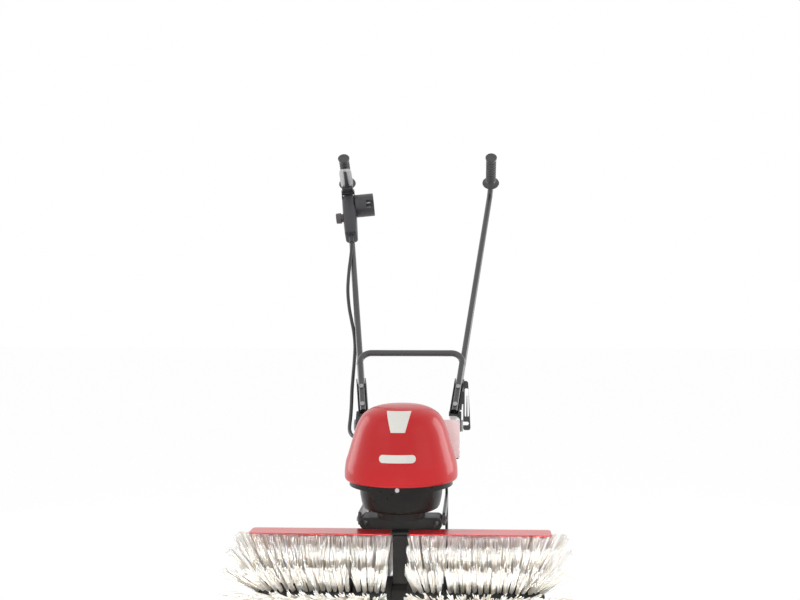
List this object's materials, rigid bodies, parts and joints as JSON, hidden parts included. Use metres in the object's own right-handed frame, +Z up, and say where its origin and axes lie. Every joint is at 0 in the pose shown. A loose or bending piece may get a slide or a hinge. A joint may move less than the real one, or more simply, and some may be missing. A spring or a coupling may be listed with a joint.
{
  "type": "power brush sweeper",
  "caption": "Walk-behind electric sweeper with a bristle roller driven by a worm gear, dome-covered motor, red fenders, tilting handlebar, dead-man lever and plug inlet.",
  "frame": {"origin": "middle of the footprint box on the floor", "axes": "+X to the right seen from the front, -Y towards the front where the brush is, +Z up"},
  "size_m": [0.7124, 0.8659, 1.195],
  "materials": {
    "case_black": "satin black paint",
    "base_black": "satin black paint",
    "frame_black": "semi-gloss black powder coat",
    "tube_black": "semi-gloss black powder coat",
    "fender_red": "gloss red paint",
    "hood_red": "gloss moulded red",
    "cover_red": "gloss moulded red",
    "label_silver": "plain pale label film",
    "bolt_steel": "dark zinc",
    "bright_steel": "ground steel",
    "core_steel": "stacked sheet",
    "copper": "enamelled copper wire",
    "bronze": "cast bronze",
    "cast_alloy": "as cast",
    "block_cream": "moulded",
    "seal_rubber": "moulded",
    "hub_black": "moulded",
    "bristle_cream": "stiff drawn filament",
    "grip_rubber": "ribbed soft grip",
    "box_black": "fine texture moulding",
    "lever_black": "smooth moulding",
    "button_dark": "moulded",
    "pin_nickel": "plated",
    "cable_rubber": "smooth sheath",
    "tyre_black": "solid rubber"
  },
  "bodies": {
    "chassis": {"gearbox_left": "case_black", "gearbox_right": "case_black", "case_bolts": "bolt_steel", "crossbeam": "case_black", "frame_bolts": "bolt_steel", "fender_left": "fender_red", "fender_right": "fender_red", "motor_base": "base_black", "hood": "hood_red", "hood_screws": "bright_steel", "badges": "label_silver", "stator_core": "core_steel", "windings": "copper", "end_shield": "cast_alloy", "stator_bolts": "bolt_steel", "brush_bearings": "bright_steel", "motor_bearings": "bright_steel", "shaft_seals": "seal_rubber", "rear_cover": "cover_red", "cover_screws": "bolt_steel", "capacitor": "cast_alloy", "terminal_block": "block_cream", "rear_frame": "frame_black", "wheel_axle": "bright_steel", "axle_clips": "bolt_steel", "pivot_rod": "bright_steel", "pivot_nuts": "bolt_steel", "cable_gland": "box_black"},
    "brush": {"drive_shaft": "bright_steel", "worm_wheel": "bronze", "hub_left": "hub_black", "hub_right": "hub_black", "hub_pins": "bright_steel", "bristles_left_inner": "bristle_cream", "bristles_left_outer": "bristle_cream", "bristles_right_inner": "bristle_cream", "bristles_right_outer": "bristle_cream"},
    "rotor": {"motor_shaft": "bright_steel", "worm": "bright_steel", "rotor_core": "core_steel", "fan": "hub_black"},
    "handlebar": {"channel_left": "frame_black", "channel_right": "frame_black", "carry_bow": "tube_black", "tube_left": "tube_black", "tube_right": "tube_black", "handle_bolts": "bolt_steel", "grip_left": "grip_rubber", "grip_right": "grip_rubber", "switch_box": "box_black", "inlet_shroud": "box_black", "inlet_pins": "pin_nickel", "cord_hook": "frame_black", "cable": "cable_rubber"},
    "lever": {"lever": "lever_black"},
    "button": {"button": "button_dark"},
    "wheel_left": {"rim_left": "hub_black", "tyre_left": "tyre_black"},
    "wheel_right": {"rim_right": "hub_black", "tyre_right": "tyre_black"}
  },
  "joints": [
    {"name": "brush_spin", "type": "hinge", "parent": "chassis", "child": "brush", "pos_m": [0, -0.287, 0.146], "axis": [1, 0, 0], "continuous": true},
    {"name": "motor_spin", "type": "hinge", "parent": "chassis", "child": "rotor", "pos_m": [0, -0.258, 0.3], "axis": [0, 0, 1], "continuous": true},
    {"name": "handlebar_tilt", "type": "hinge", "parent": "chassis", "child": "handlebar", "pos_m": [0, -0.025, 0.489], "axis": [1, 0, 0], "range_deg": [-10, 12], "deforming": ["cable"]},
    {"name": "wheel_left_spin", "type": "hinge", "parent": "chassis", "child": "wheel_left", "pos_m": [-0.1165, -0.025, 0.08], "axis": [1, 0, 0], "continuous": true},
    {"name": "wheel_right_spin", "type": "hinge", "parent": "chassis", "child": "wheel_right", "pos_m": [0.1165, -0.025, 0.08], "axis": [1, 0, 0], "continuous": true},
    {"name": "lever_squeeze", "type": "hinge", "parent": "handlebar", "child": "lever", "pos_m": [-0.20013, 0.38913, 1.09174], "axis": [-0.9919, -0.0765, -0.1015], "range_deg": [0, 7], "stiffness_Nm_per_rad": 3, "springref_deg": -6.88},
    {"name": "button_press", "type": "slide", "parent": "handlebar", "child": "button", "axis": [0.9919, 0.0765, 0.1015], "range_m": [0, 0.004], "stiffness_N_per_m": 900, "springref_m": -0.002}
  ],
  "couplings": [
    {"joint": "motor_spin", "follows": "brush_spin", "ratio": -20}
  ]
}
